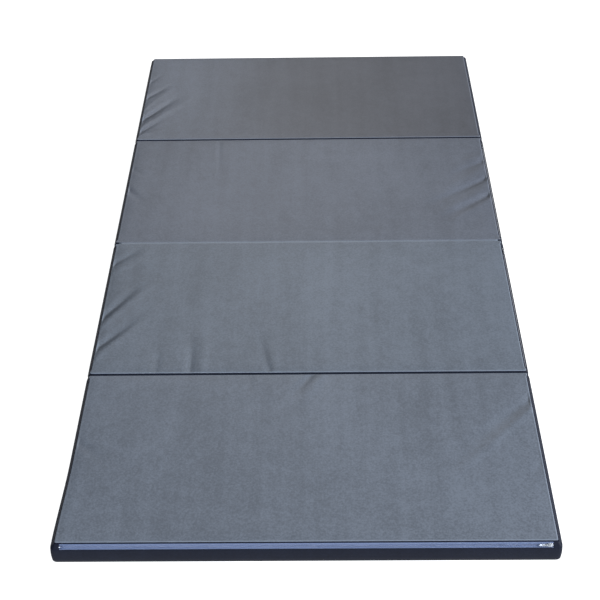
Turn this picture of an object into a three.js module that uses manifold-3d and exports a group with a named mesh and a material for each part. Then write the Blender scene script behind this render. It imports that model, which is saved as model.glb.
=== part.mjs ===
// A folding gym mat: four foam panels in sewn vinyl covers, laid end to end and joined by three
// vinyl fold strips, so that the mat folds up like an accordion. Each cover is closed by a zip on
// its upper shoulder. Millimetres, +Z up, the mat lies open on the floor along Y, and the origin
// is on the floor under its middle. Panel 1 is the one at the -Y end.
import * as THREE from "three";
import { mergeVertices } from "three/addons/utils/BufferGeometryUtils.js";
import Module from "manifold-3d";

const wasm = await Module();
wasm.setup();

// The whole mat
const MAT_WIDTH = 1219;
const MAT_LENGTH = 2438;
const THICKNESS = 63.5;
const PANEL_COUNT = 4;
const FOLD_GAP = 5; // between the walls of two panels
const CLEARANCE = 0.3; // between pieces that touch

// The covers
const SKIN = 1.2; // vinyl with its backing cloth
const SEAM_DROP = 6; // from the top or bottom face to the seam that joins it to the walls
const CORNER_RADIUS = 20; // of the walls, in plan
const WALL_WRAP = 26; // how far an end wall runs round its corners onto the long sides
const OUTER_FOOT = 4; // the 45 degree slope above the bottom seam, in plan
const OUTER_ROLL = 12; // how far the face takes to roll down to its seam
const FOLD_SHOULDER = 3; // the slope on the open side of a fold
const FOLD_ROLL = 7;
const ROLL_STEPS = 4;
const SAME_POINT = 1e-3; // points closer than this are one point

// The fold strips
const STRIP_FLANGE = 25; // sewn under the skins on each side of a fold
const STRIP_INSET = 40; // from the mat's long sides to the strip's ends

// The zips, in the plane of the shoulder: X along the zip, Y up the slope, Z outwards
const ZIP_MARGIN = 5; // from the end of the wall's straight stretch to the end of the coil
const COIL_WIDTH = 5;
const COIL_HEIGHT = 2.4;
const COIL_SUNK = 0.2; // below the face of the wall
const TAPE_THICKNESS = 0.8;
const TAPE_HEM = 0.9; // of each tape, hidden under the edge of the slot
const STOP_LENGTH = 3;
const SLIDER_LENGTH = 14;
const SLIDER_PLATE = 1.2;
const SLIDER_CHEEK = 0.9; // thickness of the slider's cheeks, between the coil and the slot
const SLIDER_OVERLAP = 0.6; // of the slider's plate over each edge of the slot
const BAIL_LENGTH = 9;
const BAIL_WIDTH = 1.8;
const BAIL_BAR = 0.9;
const BAIL_OPENING = 2; // height under the bail, which the pull's pin passes through
const PIN_RADIUS = 0.6;
const PULL_LENGTH = 25;
const PULL_WIDTH = 5.4;
const PULL_THICKNESS = 1;
const PULL_EYE = 1.1; // width of the metal round the pull's eye

const PANEL_LENGTH = (MAT_LENGTH - (PANEL_COUNT - 1) * FOLD_GAP) / PANEL_COUNT;
const PITCH = PANEL_LENGTH + FOLD_GAP;

// The slot is as wide as the coil and the slider's cheeks need. The shoulder above and below it is
// wide enough to keep the slider's plate from standing out past the wall.
const SLOT_WIDTH = COIL_WIDTH + 2 * (SLIDER_CHEEK + 2 * CLEARANCE);
const SLOT_EDGE = SLIDER_OVERLAP + SLIDER_PLATE + 2 * CLEARANCE;
const SHOULDER_TILT = Math.PI / 4;
const OUTER_SHOULDER = (SLOT_WIDTH + 2 * SLOT_EDGE) * Math.cos(SHOULDER_TILT);

const materials = {
  vinyl: { color: 0x3d434d, roughness: 0.45, metalness: 0 },
  foam: { color: 0xd9d9d4, roughness: 0.9, metalness: 0 },
  tape: { color: 0x15171c, roughness: 0.9, metalness: 0 },
  coil: { color: 0x1b1e24, roughness: 0.4, metalness: 0 },
  metal: { color: 0x8d9096, roughness: 0.35, metalness: 0.9 },
};
for (const [name, look] of Object.entries(materials)) {
  materials[name] = new THREE.MeshStandardMaterial({ name, ...look });
}

// ---- Solids -------------------------------------------------------------------------------

// A geometry as a solid that can be cut and joined.
function solidOf(geometry) {
  const bare = geometry.clone();
  bare.deleteAttribute("normal");
  bare.deleteAttribute("uv");
  const merged = mergeVertices(bare, SAME_POINT);
  return new wasm.Manifold(
    new wasm.Mesh({
      numProp: 3,
      vertProperties: new Float32Array(merged.attributes.position.array),
      triVerts: new Uint32Array(merged.index.array),
    }),
  );
}

function geometryOf(solid) {
  const { vertProperties, triVerts } = solid.getMesh();
  const geometry = new THREE.BufferGeometry();
  geometry.setAttribute("position", new THREE.BufferAttribute(vertProperties, 3));
  geometry.setIndex(new THREE.BufferAttribute(triVerts, 1));
  geometry.computeVertexNormals();
  return geometry;
}

// A box between two corners.
function boxGeometry(low, high) {
  const size = high.map((h, i) => h - low[i]);
  const middle = high.map((h, i) => (h + low[i]) / 2);
  return new THREE.BoxGeometry(...size).translate(...middle);
}

const box = (low, high) => solidOf(boxGeometry(low, high));
const join = (...solids) => solids.reduce((all, next) => all.add(next));

function mesh(name, geometry, material) {
  const made = new THREE.Mesh(geometry, material);
  made.name = name;
  return made;
}

// ---- Outlines -----------------------------------------------------------------------------

// Moves each side of a convex, counter-clockwise outline inwards by a distance.
function inset(points, distance) {
  const inward = (from, to) => new THREE.Vector2(from.y - to.y, to.x - from.x).normalize();
  return points.map((point, i) => {
    const a = inward(points.at(i - 1), point);
    const b = inward(point, points[(i + 1) % points.length]);
    const stretch = distance / (1 + a.dot(b));
    return point.clone().addScaledVector(a.add(b), stretch);
  });
}

// One side of a panel's section from the floor up: x is the distance in from the wall, y the height.
// A rolled edge has the slope between wall and seam, then the roll from the seam to the face.
function sideOf({ shoulder, foot, roll }) {
  const points = [];
  const seamTop = THICKNESS - SEAM_DROP;
  if (foot > 0) {
    const curve = new THREE.EllipseCurve(
      foot + roll, SEAM_DROP, roll, SEAM_DROP, -Math.PI / 2, -Math.PI, true,
    );
    points.push(...curve.getPoints(ROLL_STEPS), new THREE.Vector2(0, SEAM_DROP + foot));
  } else {
    points.push(new THREE.Vector2(0, 0));
  }
  if (shoulder > 0) {
    const curve = new THREE.EllipseCurve(
      shoulder + roll, seamTop, roll, SEAM_DROP, Math.PI, Math.PI / 2, true,
    );
    points.push(new THREE.Vector2(0, seamTop - shoulder), ...curve.getPoints(ROLL_STEPS));
  } else {
    points.push(new THREE.Vector2(0, THICKNESS));
  }
  return points;
}

const outerSide = sideOf({ shoulder: OUTER_SHOULDER, foot: OUTER_FOOT, roll: OUTER_ROLL });
const openTopSide = sideOf({ shoulder: FOLD_SHOULDER, foot: 0, roll: FOLD_ROLL });
const openBottomSide = sideOf({ shoulder: 0, foot: FOLD_SHOULDER, roll: FOLD_ROLL });

// A panel's section, counter-clockwise, from the shapes of its two sides.
function sectionOutline(length, lowSide, highSide) {
  const right = highSide.map((p) => new THREE.Vector2(length / 2 - p.x, p.y));
  const left = lowSide.map((p) => new THREE.Vector2(p.x - length / 2, p.y));
  return [...right, ...left.reverse()];
}

function planOutline(width, length, radius) {
  const x = width / 2 - radius;
  const y = length / 2 - radius;
  const quarter = Math.PI / 2;
  return new THREE.Shape()
    .absarc(x, -y, radius, -quarter, 0)
    .absarc(x, y, radius, 0, quarter)
    .absarc(-x, y, radius, quarter, 2 * quarter)
    .absarc(-x, -y, radius, 2 * quarter, 3 * quarter)
    .getPoints(ROLL_STEPS)
    .filter((p, i, all) => i === 0 || p.distanceTo(all[i - 1]) > SAME_POINT);
}

// An outline drawn in the plane of two axes, extruded both ways along the third.
function extrudeAlong(axis, points, length) {
  const depth = length;
  const geometry = new THREE.ExtrudeGeometry(new THREE.Shape(points), { depth, bevelEnabled: false });
  geometry.translate(0, 0, -length / 2);
  const X = new THREE.Vector3(1, 0, 0);
  const Y = new THREE.Vector3(0, 1, 0);
  const Z = new THREE.Vector3(0, 0, 1);
  const bases = { x: [Y, Z, X], y: [X, Z, Y.clone().negate()], z: [X, Y, Z] };
  return solidOf(geometry.applyMatrix4(new THREE.Matrix4().makeBasis(...bases[axis])));
}

// ---- Panels -------------------------------------------------------------------------------

// Even folds have their strip at the top, odd ones at the floor. A fold is open on the other side.
const stripAtTop = (fold) => fold % 2 === 0;
const foldY = (fold) => (fold - PANEL_COUNT / 2) * PITCH;

function panelSpec(number) {
  const first = number === 1;
  const last = number === PANEL_COUNT;
  const sideAtFold = (fold) => (stripAtTop(fold) ? openBottomSide : openTopSide);
  return {
    number,
    middle: foldY(number - 1 / 2),
    frontSide: first ? outerSide : sideAtFold(number - 1),
    rearSide: last ? outerSide : sideAtFold(number),
    // The end panels have their zip along their free end, the inner ones along their right side.
    zipWall: first ? "front" : last ? "rear" : "right",
    folds: [number - 1, number].filter((fold) => fold > 0 && fold < PANEL_COUNT),
  };
}

// The panel's outer form, with every face moved in by a distance.
function panelForm(panel, distance) {
  const along = sectionOutline(PANEL_LENGTH, panel.frontSide, panel.rearSide);
  const across = sectionOutline(MAT_WIDTH, outerSide, outerSide);
  const plan = planOutline(MAT_WIDTH, PANEL_LENGTH, CORNER_RADIUS);
  return extrudeAlong("x", inset(along, distance), MAT_WIDTH)
    .intersect(extrudeAlong("y", inset(across, distance), PANEL_LENGTH))
    .intersect(extrudeAlong("z", inset(plan, distance), 2 * THICKNESS));
}

// The strip of a fold, grown by a distance on every side, in the frame of the whole mat.
function stripGeometry(fold, grown = 0) {
  const y = foldY(fold);
  const halfWidth = FOLD_GAP / 2 + STRIP_FLANGE;
  const halfLength = MAT_WIDTH / 2 - STRIP_INSET;
  const bottom = SKIN + CLEARANCE;
  const low = stripAtTop(fold) ? THICKNESS - bottom - SKIN : bottom;
  return boxGeometry(
    [-halfLength - grown, y - halfWidth - grown, low - grown],
    [halfLength + grown, y + halfWidth + grown, low + SKIN + grown],
  );
}

// ---- Zips ---------------------------------------------------------------------------------

const wallTurn = { front: 0, right: Math.PI / 2, rear: Math.PI };

const zipLength = (panel) => {
  const straight = panel.zipWall === "right"
    ? PANEL_LENGTH - 2 * WALL_WRAP
    : MAT_WIDTH - 2 * CORNER_RADIUS;
  return straight - 2 * ZIP_MARGIN;
};

// From the shoulder's own plane to the panel's frame.
function shoulderMatrix(panel) {
  const reach = panel.zipWall === "right" ? MAT_WIDTH / 2 : PANEL_LENGTH / 2;
  const turn = new THREE.Matrix4().makeRotationZ(wallTurn[panel.zipWall]);
  const place = new THREE.Matrix4().makeTranslation(
    0, OUTER_SHOULDER / 2 - reach, THICKNESS - SEAM_DROP - OUTER_SHOULDER / 2,
  );
  const tilt = new THREE.Matrix4().makeRotationX(SHOULDER_TILT);
  return turn.multiply(place).multiply(tilt);
}

const coilTop = -COIL_SUNK;
const tapeTop = -SKIN - CLEARANCE;
const plateBottom = CLEARANCE;
const plateTop = plateBottom + SLIDER_PLATE;
const pinHeight = plateTop + BAIL_OPENING / 2;

// What the zip takes out of the wall, and what it takes out of the foam behind the wall.
function zipSlot(panel) {
  const half = zipLength(panel) / 2 + STOP_LENGTH + CLEARANCE;
  const slot = boxGeometry([-half, -SLOT_WIDTH / 2, -2 * SKIN], [half, SLOT_WIDTH / 2, SKIN]);
  return solidOf(slot.applyMatrix4(shoulderMatrix(panel)));
}

function zipRebate(panel) {
  const half = zipLength(panel) / 2 + STOP_LENGTH + 2 * CLEARANCE;
  const halfWidth = SLOT_WIDTH / 2 + TAPE_HEM + CLEARANCE;
  const depth = COIL_HEIGHT + COIL_SUNK + CLEARANCE;
  const rebate = boxGeometry([-half, -halfWidth, -depth], [half, halfWidth, SKIN]);
  return solidOf(rebate.applyMatrix4(shoulderMatrix(panel)));
}

function tapeGeometry(panel, side) {
  const half = zipLength(panel) / 2;
  const edges = [COIL_WIDTH / 2 + CLEARANCE, SLOT_WIDTH / 2 + TAPE_HEM].map((y) => y * side);
  return boxGeometry(
    [-half, Math.min(...edges), tapeTop - TAPE_THICKNESS],
    [half, Math.max(...edges), tapeTop],
  );
}

function coilGeometry(panel) {
  const half = zipLength(panel) / 2;
  return boxGeometry(
    [-half, -COIL_WIDTH / 2, coilTop - COIL_HEIGHT],
    [half, COIL_WIDTH / 2, coilTop],
  );
}

function stopGeometry(panel, end) {
  const near = zipLength(panel) / 2 + CLEARANCE;
  const edges = [near * end, (near + STOP_LENGTH - CLEARANCE) * end];
  return boxGeometry(
    [Math.min(...edges), -COIL_WIDTH / 2, coilTop - COIL_HEIGHT],
    [Math.max(...edges), COIL_WIDTH / 2, coilTop],
  );
}

// The slider's plate runs over the slot, with a cheek down each side of the coil and a bail on top.
function sliderGeometry() {
  const half = SLIDER_LENGTH / 2;
  const plateHalf = SLOT_WIDTH / 2 + SLIDER_OVERLAP;
  const nose = half / 2;
  const outline = new THREE.Shape([
    new THREE.Vector2(-half, -COIL_WIDTH / 2),
    new THREE.Vector2(-nose, -plateHalf),
    new THREE.Vector2(half, -plateHalf),
    new THREE.Vector2(half, plateHalf),
    new THREE.Vector2(-nose, plateHalf),
    new THREE.Vector2(-half, COIL_WIDTH / 2),
  ]);
  const plate = solidOf(
    new THREE.ExtrudeGeometry(outline, { depth: SLIDER_PLATE, bevelEnabled: false })
      .translate(0, 0, plateBottom),
  );
  const cheekIn = COIL_WIDTH / 2 + CLEARANCE;
  const cheekOut = cheekIn + SLIDER_CHEEK;
  const cheek = (low, high) =>
    box([-nose, low, tapeTop + CLEARANCE], [half - SLIDER_CHEEK, high, plateBottom + SLIDER_PLATE / 2]);
  const bail = box(
    [-BAIL_LENGTH / 2, -BAIL_WIDTH / 2, plateBottom + SLIDER_PLATE / 2],
    [BAIL_LENGTH / 2, BAIL_WIDTH / 2, plateTop + BAIL_OPENING + BAIL_BAR],
  ).subtract(box(
    [BAIL_BAR - BAIL_LENGTH / 2, -BAIL_WIDTH, plateTop],
    [BAIL_LENGTH / 2 - BAIL_BAR, BAIL_WIDTH, plateTop + BAIL_OPENING],
  ));
  return geometryOf(join(plate, cheek(cheekIn, cheekOut), cheek(-cheekOut, -cheekIn), bail));
}

// The pull lies along the coil from its pin at the origin, and its eye goes round the bail's bar.
function pullGeometry() {
  const eyeLength = BAIL_LENGTH / 2 + BAIL_BAR + PULL_EYE;
  const plate = new THREE.Shape()
    .moveTo(0, -PULL_WIDTH / 2)
    .lineTo(-PULL_LENGTH + PULL_WIDTH / 2, -PULL_WIDTH / 2)
    .absarc(-PULL_LENGTH + PULL_WIDTH / 2, 0, PULL_WIDTH / 2, -Math.PI / 2, Math.PI / 2, true)
    .lineTo(0, PULL_WIDTH / 2);
  const depth = PULL_THICKNESS;
  const blade = solidOf(
    new THREE.ExtrudeGeometry(plate, { depth, bevelEnabled: false, curveSegments: 6 })
      .translate(0, 0, -depth / 2),
  );
  const eye = box(
    [-eyeLength, PULL_EYE - PULL_WIDTH / 2, -depth],
    [PULL_EYE, PULL_WIDTH / 2 - PULL_EYE, depth],
  );
  const pin = solidOf(new THREE.CylinderGeometry(PIN_RADIUS, PIN_RADIUS, PULL_WIDTH, 12));
  return geometryOf(join(blade.subtract(eye), pin));
}

function zip(panel) {
  const { number } = panel;
  const sliderX = zipLength(panel) / 2 - SLIDER_LENGTH / 2;
  const group = new THREE.Group();
  group.applyMatrix4(shoulderMatrix(panel));
  const slider = mesh(`zip_slider_${number}`, sliderGeometry(), materials.metal);
  slider.position.x = sliderX;
  const pull = mesh(`zip_pull_${number}`, pullGeometry(), materials.metal);
  pull.position.set(sliderX, 0, pinHeight);
  group.add(
    mesh(`zip_upper_tape_${number}`, tapeGeometry(panel, 1), materials.tape),
    mesh(`zip_lower_tape_${number}`, tapeGeometry(panel, -1), materials.tape),
    mesh(`zip_coil_${number}`, coilGeometry(panel), materials.coil),
    mesh(`zip_top_stop_${number}`, stopGeometry(panel, 1), materials.metal),
    mesh(`zip_bottom_stop_${number}`, stopGeometry(panel, -1), materials.metal),
    slider,
    pull,
  );
  return group;
}

// ---- Putting a panel together -------------------------------------------------------------

function coverSolids(panel) {
  const x = MAT_WIDTH;
  const y = PANEL_LENGTH;
  const cover = panelForm(panel, 0).subtract(panelForm(panel, SKIN));
  const seamTop = THICKNESS - SEAM_DROP;
  const slice = (low, high) => cover.intersect(box([-x, -y, low], [x, y, high]));
  const band = slice(SEAM_DROP + CLEARANCE / 2, seamTop - CLEARANCE / 2);
  const wrap = PANEL_LENGTH / 2 - WALL_WRAP;
  const gap = CLEARANCE / 2;
  const walls = {
    front: band.intersect(box([-x, -y, 0], [x, -wrap - gap, THICKNESS])),
    rear: band.intersect(box([-x, wrap + gap, 0], [x, y, THICKNESS])),
    left: band.intersect(box([-x, gap - wrap, 0], [0, wrap - gap, THICKNESS])),
    right: band.intersect(box([0, gap - wrap, 0], [x, wrap - gap, THICKNESS])),
  };
  walls[panel.zipWall] = walls[panel.zipWall].subtract(zipSlot(panel));
  return {
    top: slice(seamTop + CLEARANCE / 2, THICKNESS),
    bottom: slice(0, SEAM_DROP - CLEARANCE / 2),
    walls,
  };
}

function buildPanel(number) {
  const panel = panelSpec(number);
  const cover = coverSolids(panel);
  let foam = panelForm(panel, SKIN + CLEARANCE).subtract(zipRebate(panel));
  for (const fold of panel.folds) {
    const strip = solidOf(stripGeometry(fold, CLEARANCE).translate(0, -panel.middle, 0));
    const face = stripAtTop(fold) ? "top" : "bottom";
    cover[face] = cover[face].subtract(strip);
    foam = foam.subtract(strip);
  }
  const group = new THREE.Group();
  group.position.y = panel.middle;
  group.add(
    mesh(`foam_core_${number}`, geometryOf(foam), materials.foam),
    mesh(`top_skin_${number}`, geometryOf(cover.top), materials.vinyl),
    mesh(`bottom_skin_${number}`, geometryOf(cover.bottom), materials.vinyl),
  );
  for (const [side, solid] of Object.entries(cover.walls)) {
    group.add(mesh(`${side}_wall_${number}`, geometryOf(solid), materials.vinyl));
  }
  group.add(zip(panel));
  return group;
}

const mat = new THREE.Group();
for (let number = 1; number <= PANEL_COUNT; number += 1) {
  mat.add(buildPanel(number));
}
for (let fold = 1; fold < PANEL_COUNT; fold += 1) {
  mat.add(mesh(`fold_strip_${fold}_${fold + 1}`, stripGeometry(fold), materials.vinyl));
}

export default mat;
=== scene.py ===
# %% [markdown]
# # A folding gym mat
# Four foam panels lie end to end, each sewn into a vinyl cover, and the covers are joined by three
# fold strips so that the mat closes like an accordion. The frame loaded here already holds every
# body and joint. This lesson dresses it: padded covers with seams and creases, fold strips, and
# zips with real teeth. Everything is in metres, in the frame's own axes.

# %% Load the frame
import math

import bmesh
import bpy
import numpy as np
from mathutils import Matrix, Vector


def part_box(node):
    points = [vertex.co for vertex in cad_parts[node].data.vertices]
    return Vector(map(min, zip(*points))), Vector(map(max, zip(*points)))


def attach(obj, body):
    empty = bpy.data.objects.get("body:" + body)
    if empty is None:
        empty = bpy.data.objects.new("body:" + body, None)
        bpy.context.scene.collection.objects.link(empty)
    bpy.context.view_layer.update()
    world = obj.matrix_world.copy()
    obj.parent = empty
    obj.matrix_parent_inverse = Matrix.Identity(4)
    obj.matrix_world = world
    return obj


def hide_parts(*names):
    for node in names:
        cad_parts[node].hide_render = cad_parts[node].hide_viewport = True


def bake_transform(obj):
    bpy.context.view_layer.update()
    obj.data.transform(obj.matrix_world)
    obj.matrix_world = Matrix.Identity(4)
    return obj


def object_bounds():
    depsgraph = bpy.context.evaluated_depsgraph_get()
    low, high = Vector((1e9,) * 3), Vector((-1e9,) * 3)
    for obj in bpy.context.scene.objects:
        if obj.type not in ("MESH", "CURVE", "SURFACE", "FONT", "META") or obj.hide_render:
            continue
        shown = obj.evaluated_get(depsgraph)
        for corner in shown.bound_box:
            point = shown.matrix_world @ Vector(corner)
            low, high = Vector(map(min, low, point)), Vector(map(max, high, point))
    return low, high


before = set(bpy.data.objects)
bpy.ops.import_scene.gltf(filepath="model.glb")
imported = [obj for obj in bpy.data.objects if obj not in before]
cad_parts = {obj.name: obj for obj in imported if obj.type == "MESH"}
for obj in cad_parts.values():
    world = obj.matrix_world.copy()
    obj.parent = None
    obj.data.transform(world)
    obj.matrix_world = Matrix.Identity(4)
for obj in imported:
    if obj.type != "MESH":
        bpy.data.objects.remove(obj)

MM = 0.001
cad_low, cad_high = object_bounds()
print("frame size in metres:", [round(v, 4) for v in cad_high - cad_low])

# %% [markdown]
# ## Measuring the frame
# A cover has to fit the foam and the zip that the frame holds, so nothing is measured twice. The
# boxes of the plain sewn pieces say how long each panel is, how high the seams run, and how far in
# from the wall the top and bottom skins end.

# %% Measure the panels
PANELS = (1, 2, 3, 4)
THICK = cad_high.z
HALF_WIDTH = cad_high.x


def span(panel):
    """The front and rear of a panel's walls."""
    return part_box(f"front_wall_{panel}")[0].y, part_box(f"rear_wall_{panel}")[1].y


HALF_LENGTH = (span(1)[1] - span(1)[0]) / 2
FOLD_GAP = span(2)[0] - span(1)[1]
print("panel length", round(2 * HALF_LENGTH, 5), "fold gap", round(FOLD_GAP, 5))

# %% Measure the seams
skin_low, skin_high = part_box("top_skin_1")
SEAM_DROP = THICK - (skin_low.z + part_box("left_wall_1")[1].z) / 2
OUTER_SHOULDER = skin_low.x - cad_low.x
FOLD_SHOULDER = span(1)[1] - skin_high.y
WALL_SEAM = HALF_LENGTH - (span(1)[0] + 2 * HALF_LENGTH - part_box("left_wall_1")[1].y)
print("seams: drop", round(SEAM_DROP, 5), "shoulder", round(OUTER_SHOULDER, 5))

# %% [markdown]
# ## Camera
# The mat is looked at from its near end, a little right of the middle and from well above head
# height, through a long lens. The camera is placed by its position and by three angles: how far it is
# pitched down, how far it is turned, and how far it leans.

# %% Camera
CAMERA_PLACE = (0.0328, -3.1958, 2.4032)
PITCH_DOWN = math.radians(38.85)
TURN = math.radians(1.093)
LEAN = math.radians(-1.127)

camera = bpy.data.objects.new("camera", bpy.data.cameras.new("camera"))
camera.data.lens = 75.9
camera.data.sensor_width = 36
camera.data.clip_end = 100
aim = Matrix.Rotation(TURN, 4, "Z") @ Matrix.Rotation(math.pi / 2 - PITCH_DOWN, 4, "X")
camera.matrix_world = Matrix.Translation(CAMERA_PLACE) @ aim @ Matrix.Rotation(LEAN, 4, "Z")
bpy.context.collection.objects.link(camera)
bpy.context.scene.camera = camera
print("camera", [round(v, 3) for v in camera.location])

# %% [markdown]
# ## A little language for materials
# A material is a graph of nodes. Wiring each Math node by hand hides the formula that it stands
# for, so a small class wraps a socket and lets Python's own operators add the Math nodes. Every
# other node comes from one method, which takes its type, its settings and what goes into it.


# %% Wires
class Wire:
    """A number that travels between nodes: adding or multiplying wires adds Math nodes."""

    def __init__(self, finish, socket):
        self.finish = finish
        self.socket = socket

    def math(self, operation, first, second=0.0):
        return self.finish.node("ShaderNodeMath", {"operation": operation}, {0: first, 1: second})

    def __add__(self, other):
        return self.math("ADD", self, other)

    def __sub__(self, other):
        return self.math("SUBTRACT", self, other)

    def __rsub__(self, other):
        return self.math("SUBTRACT", other, self)

    def __mul__(self, other):
        return self.math("MULTIPLY", self, other)

    __radd__ = __add__
    __rmul__ = __mul__


print("wires add, subtract and multiply")


# %% Finishes
class Finish:
    """A material with one Principled shader, built up node by node."""

    def __init__(self, name, **shader):
        self.material = bpy.data.materials.new(name)
        self.material.use_nodes = True
        self.tree = self.material.node_tree
        self.tree.nodes.clear()
        surface = self.node("ShaderNodeBsdfPrincipled")
        self.shader = surface.socket.node
        self.node("ShaderNodeOutputMaterial", sockets={"Surface": surface})
        self.set(**shader)

    def node(self, kind, settings=None, sockets=None, out=0):
        made = self.tree.nodes.new(kind)
        for name, value in (settings or {}).items():
            setattr(made, name, value)
        for key, value in (sockets or {}).items():
            self.feed(made.inputs[key], value)
        return Wire(self, made.outputs[out]) if made.outputs else None

    def feed(self, socket, value):
        if isinstance(value, Wire):
            self.tree.links.new(value.socket, socket)
        elif socket.type == "RGBA":
            socket.default_value = (*value, 1.0)
        else:
            socket.default_value = value

    def set(self, **shader):
        for name, value in shader.items():
            self.feed(self.shader.inputs[name.replace("_", " ")], value)

    def place(self):
        return self.node("ShaderNodeTexCoord", out="Object")

    def noise(self, scale, detail=2.0, where=None):
        sockets = {"Vector": where or self.place(), "Scale": scale, "Detail": detail}
        return self.node("ShaderNodeTexNoise", sockets=sockets)

    def blend(self, share, first, second):
        sockets = {0: share, 6: first, 7: second}
        settings = {"data_type": "RGBA", "clamp_factor": True}
        return self.node("ShaderNodeMix", settings, sockets, out=2)

    def bump(self, height, distance, strength=1.0):
        sockets = {"Height": height, "Distance": distance, "Strength": strength}
        return self.node("ShaderNodeBump", sockets=sockets)


print("finish helpers ready")

# %% [markdown]
# ## Vinyl
# The cover is coated fabric: a dark blue-grey plastic face, embossed with a fine leather grain over
# the weave of its backing. It is satin, so it picks up a broad soft sheen, and no two hand-widths of
# it have quite the same tone. Four scales of tone are made: clouds a few decimetres across, a mottle
# of a few centimetres, long streaks, and specks. The grain itself is only a bump. A picture of leather would
# repeat and would need to be laid out flat; noise in the panel's own space does neither.


# %% Vinyl
CLOUD_SCALE = 2.4
MOTTLE_SCALE = 26.0
STREAK_STRETCH = (24.0, 1.6, 1.0)
SPECKLE_SCALE = 210.0
GRAIN_SCALE = 560.0
WEAVE_SCALE = 900.0
FADE_FROM, FADE_TO = -0.55, 0.05
# How much lighter the painted highlight on turned edges makes the vinyl's colour.
PAINTED_HIGHLIGHT_TONE = 1.9


def wander(finish, tone, colour, spread):
    """A colour that goes from darker to lighter by a share of itself as tone rises."""
    return finish.blend(tone, [c * (1 - spread) for c in colour], [c * (1 + spread) for c in colour])


def vinyl(name, colour, spread, roughness, specular, far_right=None):
    """Coated fabric, with another colour towards the right if far_right gives one."""
    finish = Finish(name, IOR=1.5, Specular_IOR_Level=specular)
    place = finish.place()
    clouds = finish.noise(CLOUD_SCALE, 2.0, place)
    mottle = finish.noise(MOTTLE_SCALE, 4.0, place)
    sockets = {0: place, 1: STREAK_STRETCH}
    stretched = finish.node("ShaderNodeVectorMath", {"operation": "MULTIPLY"}, sockets)
    streaks = finish.noise(1.0, 3.0, stretched)
    speckle = finish.noise(SPECKLE_SCALE, 2.0, place)
    tone = clouds + mottle * 0.7 + streaks * 0.8 + speckle * 2.2 - 1.85
    tinted = wander(finish, tone, colour, spread)
    if far_right:
        split = finish.node("ShaderNodeSeparateXYZ", sockets={"Vector": place})
        sockets = {"Value": split, "From Min": FADE_FROM, "From Max": FADE_TO, "To Min": 0.0, "To Max": 1.0}
        fade = finish.node("ShaderNodeMapRange", {"interpolation_type": "SMOOTHSTEP"}, sockets)
        tinted = finish.blend(fade, tinted, wander(finish, tone, far_right, spread))
    # Where an edge is marked, the colour is lightened halfway towards 1.9 times its own: a painted
    # highlight. The same mark lowers the roughness, as rubbing smooths vinyl.
    polish_and_highlight = finish.node("ShaderNodeAttribute", {"attribute_name": "polish_and_highlight"}, out="Fac")
    tinted = finish.blend(polish_and_highlight * 0.5, tinted, [c * PAINTED_HIGHLIGHT_TONE for c in colour])
    sockets = {"Vector": place, "Scale": GRAIN_SCALE, "Smoothness": 0.6}
    cells = finish.node("ShaderNodeTexVoronoi", {"feature": "SMOOTH_F1"}, sockets)
    weave = finish.noise(WEAVE_SCALE, 1.0, place)
    grain = cells * 0.7 + weave * 0.3
    finish.set(
        Base_Color=tinted,
        Roughness=roughness + (speckle - 0.5) * 0.16 - polish_and_highlight * 0.14,
        Normal=finish.bump(grain, 0.0003, 0.6),
    )
    return finish.material


VINYL = {
    1: vinyl("vinyl_1", (0.098, 0.116, 0.148), 0.24, 0.45, 0.6),
    2: vinyl("vinyl_2", (0.094, 0.113, 0.144), 0.24, 0.45, 0.6),
    3: vinyl("vinyl_3", (0.085, 0.098, 0.127), 0.23, 0.45, 0.6),
    4: vinyl("vinyl_4", (0.092, 0.106, 0.136), 0.23, 0.45, 0.6, far_right=(0.060, 0.065, 0.081)),
}
# A copy of the vinyl made far darker than the top, for the walls, the seam grooves and the strips under the
# mat: painted shade, standing in for the shade those faces lie in.
SHADED_WALL_VINYL = vinyl("shaded_wall_vinyl", (0.0080, 0.0102, 0.0192), 0.2, 0.52, 0.06)
print("made", [each.name for each in VINYL.values()], "and", SHADED_WALL_VINYL.name)

# %% [markdown]
# ## Zip finishes
# A zip has four stuffs in it: the woven tape, which is sewn in and is dark navy; the nylon
# monofilament that is wound into teeth; the thread of the topstitching; and the plated metal of the
# slider, its pull and the stops. At the ends of the mat the tape, the teeth and the hem of the slot
# are given a paler blue than along the sides: a painted sheen of the front light, over their real
# gloss.


# %% Tape and thread
def woven(name, colour, ribs, roughness=0.85, specular=0.3):
    """A herringbone tape or a twisted thread: two crossed waves, ribs to the metre."""
    finish = Finish(name, Roughness=roughness, Specular_IOR_Level=specular)
    place = finish.place()
    settings = {"wave_type": "BANDS", "bands_direction": "DIAGONAL"}
    over = finish.node("ShaderNodeTexWave", settings, {"Vector": place, "Scale": ribs, "Distortion": 0.6})
    fuzz = finish.noise(400.0, 3.0, place)
    height = over * 0.7 + fuzz * 0.3
    finish.set(
        Base_Color=finish.blend(height, [c * 0.72 for c in colour], [c * 1.18 for c in colour]),
        Normal=finish.bump(height, 0.0002, 0.6),
    )
    return finish.material


# The end tape is a paler blue than the side tape: a painted sheen of the front light, over the tape's real
# gloss.
END_TAPE_PAINTED_SHEEN = woven("end_zip_tape_painted_sheen", (0.115, 0.160, 0.300), 320.0, 0.40, 0.7)
SIDE_TAPE = woven("side_zip_tape", (0.022, 0.028, 0.046), 320.0, 0.6, 0.3)
# The hems beside the slot on the end panels are a light blue: a painted sheen of the front light, over their
# real gloss.
HEM_PAINTED_SHEEN = woven("zip_hem_painted_sheen", (0.090, 0.125, 0.235), 240.0, 0.40, 0.7)
THREAD = woven("thread", (0.07, 0.085, 0.12), 500.0)
print("made", END_TAPE_PAINTED_SHEEN.name, SIDE_TAPE.name, HEM_PAINTED_SHEEN.name, "and", THREAD.name)


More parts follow.
